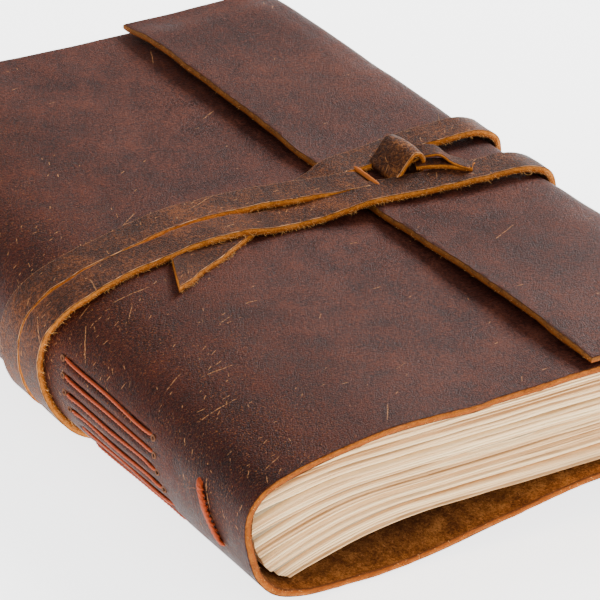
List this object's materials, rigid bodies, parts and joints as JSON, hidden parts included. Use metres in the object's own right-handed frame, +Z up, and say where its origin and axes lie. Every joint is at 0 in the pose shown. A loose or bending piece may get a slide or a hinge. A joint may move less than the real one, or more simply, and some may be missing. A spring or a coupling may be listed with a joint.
{
  "type": "leather wrap journal",
  "caption": "Hand-sewn journal in a soft leather cover whose flap folds over the fore-edge and is held by a strap laced through it and wound round the book.",
  "frame": {"origin": "middle of the closed journal's footprint, on the surface it lies on", "axes": "+X from the spine to the fore-edge, +Y from the tail to the head, +Z up through the front cover"},
  "size_m": [0.1341, 0.184, 0.0465],
  "materials": {
    "cover_leather": "oiled pull-up leather, dark red-brown, with raw orange cut edges and a golden-brown suede flesh side",
    "strap_leather": "oiled leather strip with raw orange cut edges",
    "paper": "cream handmade cotton paper with deckled edges",
    "waxed_thread": "twisted and waxed orange-red linen thread"
  },
  "bodies": {
    "book": {"back_cover": "cover_leather", "spine_panel": "cover_leather", "front_fold": "cover_leather", "fore_edge_lower_fold": "cover_leather", "signature_6": "paper", "signature_thread_6": "waxed_thread", "long_stitches_tail": "waxed_thread", "long_stitches_head": "waxed_thread", "wrapped_stitch_tail": "waxed_thread", "wrapped_stitch_head": "waxed_thread"},
    "front": {"front_cover": "cover_leather"},
    "leaf_1": {"signature_1": "paper", "signature_thread_1": "waxed_thread"},
    "leaf_2": {"signature_2": "paper", "signature_thread_2": "waxed_thread"},
    "leaf_3": {"signature_3": "paper", "signature_thread_3": "waxed_thread"},
    "leaf_4": {"signature_4": "paper", "signature_thread_4": "waxed_thread"},
    "leaf_5": {"signature_5": "paper", "signature_thread_5": "waxed_thread"},
    "turn": {"fore_edge_turn": "cover_leather", "fore_edge_upper_fold": "cover_leather"},
    "flap": {"flap": "cover_leather", "strap_knot": "strap_leather", "strap_knot_end": "strap_leather", "strap_tab": "strap_leather", "strap_run_b": "strap_leather"},
    "strap_1": {"strap_under_1": "strap_leather"},
    "strap_2": {"strap_run_c": "strap_leather"},
    "strap_3": {"strap_under_2": "strap_leather"},
    "strap_4": {"strap_run_a": "strap_leather", "strap_tip": "strap_leather"}
  },
  "joints": [
    {"name": "cover_opens", "type": "hinge", "parent": "book", "child": "front", "pos_m": [-0.06038, 0, 0.03108], "axis": [0, -1, 0], "range_deg": [0, 190], "deforming": ["front_fold"]},
    {"name": "signature_5_fans", "type": "hinge", "parent": "book", "child": "leaf_5", "pos_m": [-0.0609, 0, 0.0176], "axis": [0, -1, 0], "range_deg": [0, 1]},
    {"name": "signature_4_fans", "type": "hinge", "parent": "leaf_5", "child": "leaf_4", "pos_m": [-0.0609, 0, 0.02155], "axis": [0, -1, 0], "range_deg": [0, 1.5]},
    {"name": "signature_3_fans", "type": "hinge", "parent": "leaf_4", "child": "leaf_3", "pos_m": [-0.0609, 0, 0.0255], "axis": [0, -1, 0], "range_deg": [0, 3]},
    {"name": "signature_2_fans", "type": "hinge", "parent": "leaf_3", "child": "leaf_2", "pos_m": [-0.0585, 0, 0.02945], "axis": [0, -1, 0], "range_deg": [0, 6]},
    {"name": "signature_1_fans", "type": "hinge", "parent": "leaf_2", "child": "leaf_1", "pos_m": [-0.0513, 0, 0.0334], "axis": [0, -1, 0], "range_deg": [0, 12]},
    {"name": "turn_opens", "type": "hinge", "parent": "book", "child": "turn", "pos_m": [0.06155, 0, 0.00685], "axis": [0, 1, 0], "range_deg": [0, 86.5], "deforming": ["fore_edge_lower_fold"]},
    {"name": "flap_opens", "type": "hinge", "parent": "turn", "child": "flap", "pos_m": [0.06155, 0, 0.03625], "axis": [0, 1, 0], "range_deg": [0, 90], "deforming": ["fore_edge_upper_fold", "flap", "strap_tab", "strap_knot", "strap_knot_end"]},
    {"name": "strap_unwinds_1", "type": "hinge", "parent": "flap", "child": "strap_1", "pos_m": [-0.06605, 0, 0.01955], "axis": [0, 1, 0], "range_deg": [0, 189.2], "deforming": ["strap_run_b", "strap_under_1"]},
    {"name": "strap_unwinds_2", "type": "hinge", "parent": "strap_1", "child": "strap_2", "pos_m": [0.06605, 0, 0.02155], "axis": [0, 1, 0], "range_deg": [0, 174.6], "deforming": ["strap_run_c"]},
    {"name": "strap_unwinds_3", "type": "hinge", "parent": "strap_2", "child": "strap_3", "pos_m": [-0.06605, 0, 0.0187], "axis": [0, 1, 0], "range_deg": [0, 179.9], "deforming": ["strap_under_2"]},
    {"name": "strap_unwinds_4", "type": "hinge", "parent": "strap_3", "child": "strap_4", "pos_m": [0.06605, 0, 0.0207], "axis": [0, 1, 0], "range_deg": [0, 180], "deforming": ["strap_run_a", "strap_tip"]}
  ],
  "couplings": [
    {"joint": "signature_5_fans", "follows": "cover_opens", "ratio": 0.005263},
    {"joint": "signature_4_fans", "follows": "cover_opens", "ratio": 0.007894},
    {"joint": "signature_3_fans", "follows": "cover_opens", "ratio": 0.015789},
    {"joint": "signature_2_fans", "follows": "cover_opens", "ratio": 0.031578},
    {"joint": "signature_1_fans", "follows": "cover_opens", "ratio": 0.063157},
    {"joint": "turn_opens", "follows": "cover_opens", "ratio": 0.45526},
    {"joint": "flap_opens", "follows": "cover_opens", "ratio": 0.47368},
    {"joint": "strap_unwinds_1", "follows": "cover_opens", "ratio": 0.99579},
    {"joint": "strap_unwinds_2", "follows": "cover_opens", "ratio": 0.91895},
    {"joint": "strap_unwinds_3", "follows": "cover_opens", "ratio": 0.94684},
    {"joint": "strap_unwinds_4", "follows": "cover_opens", "ratio": 0.94737}
  ]
}
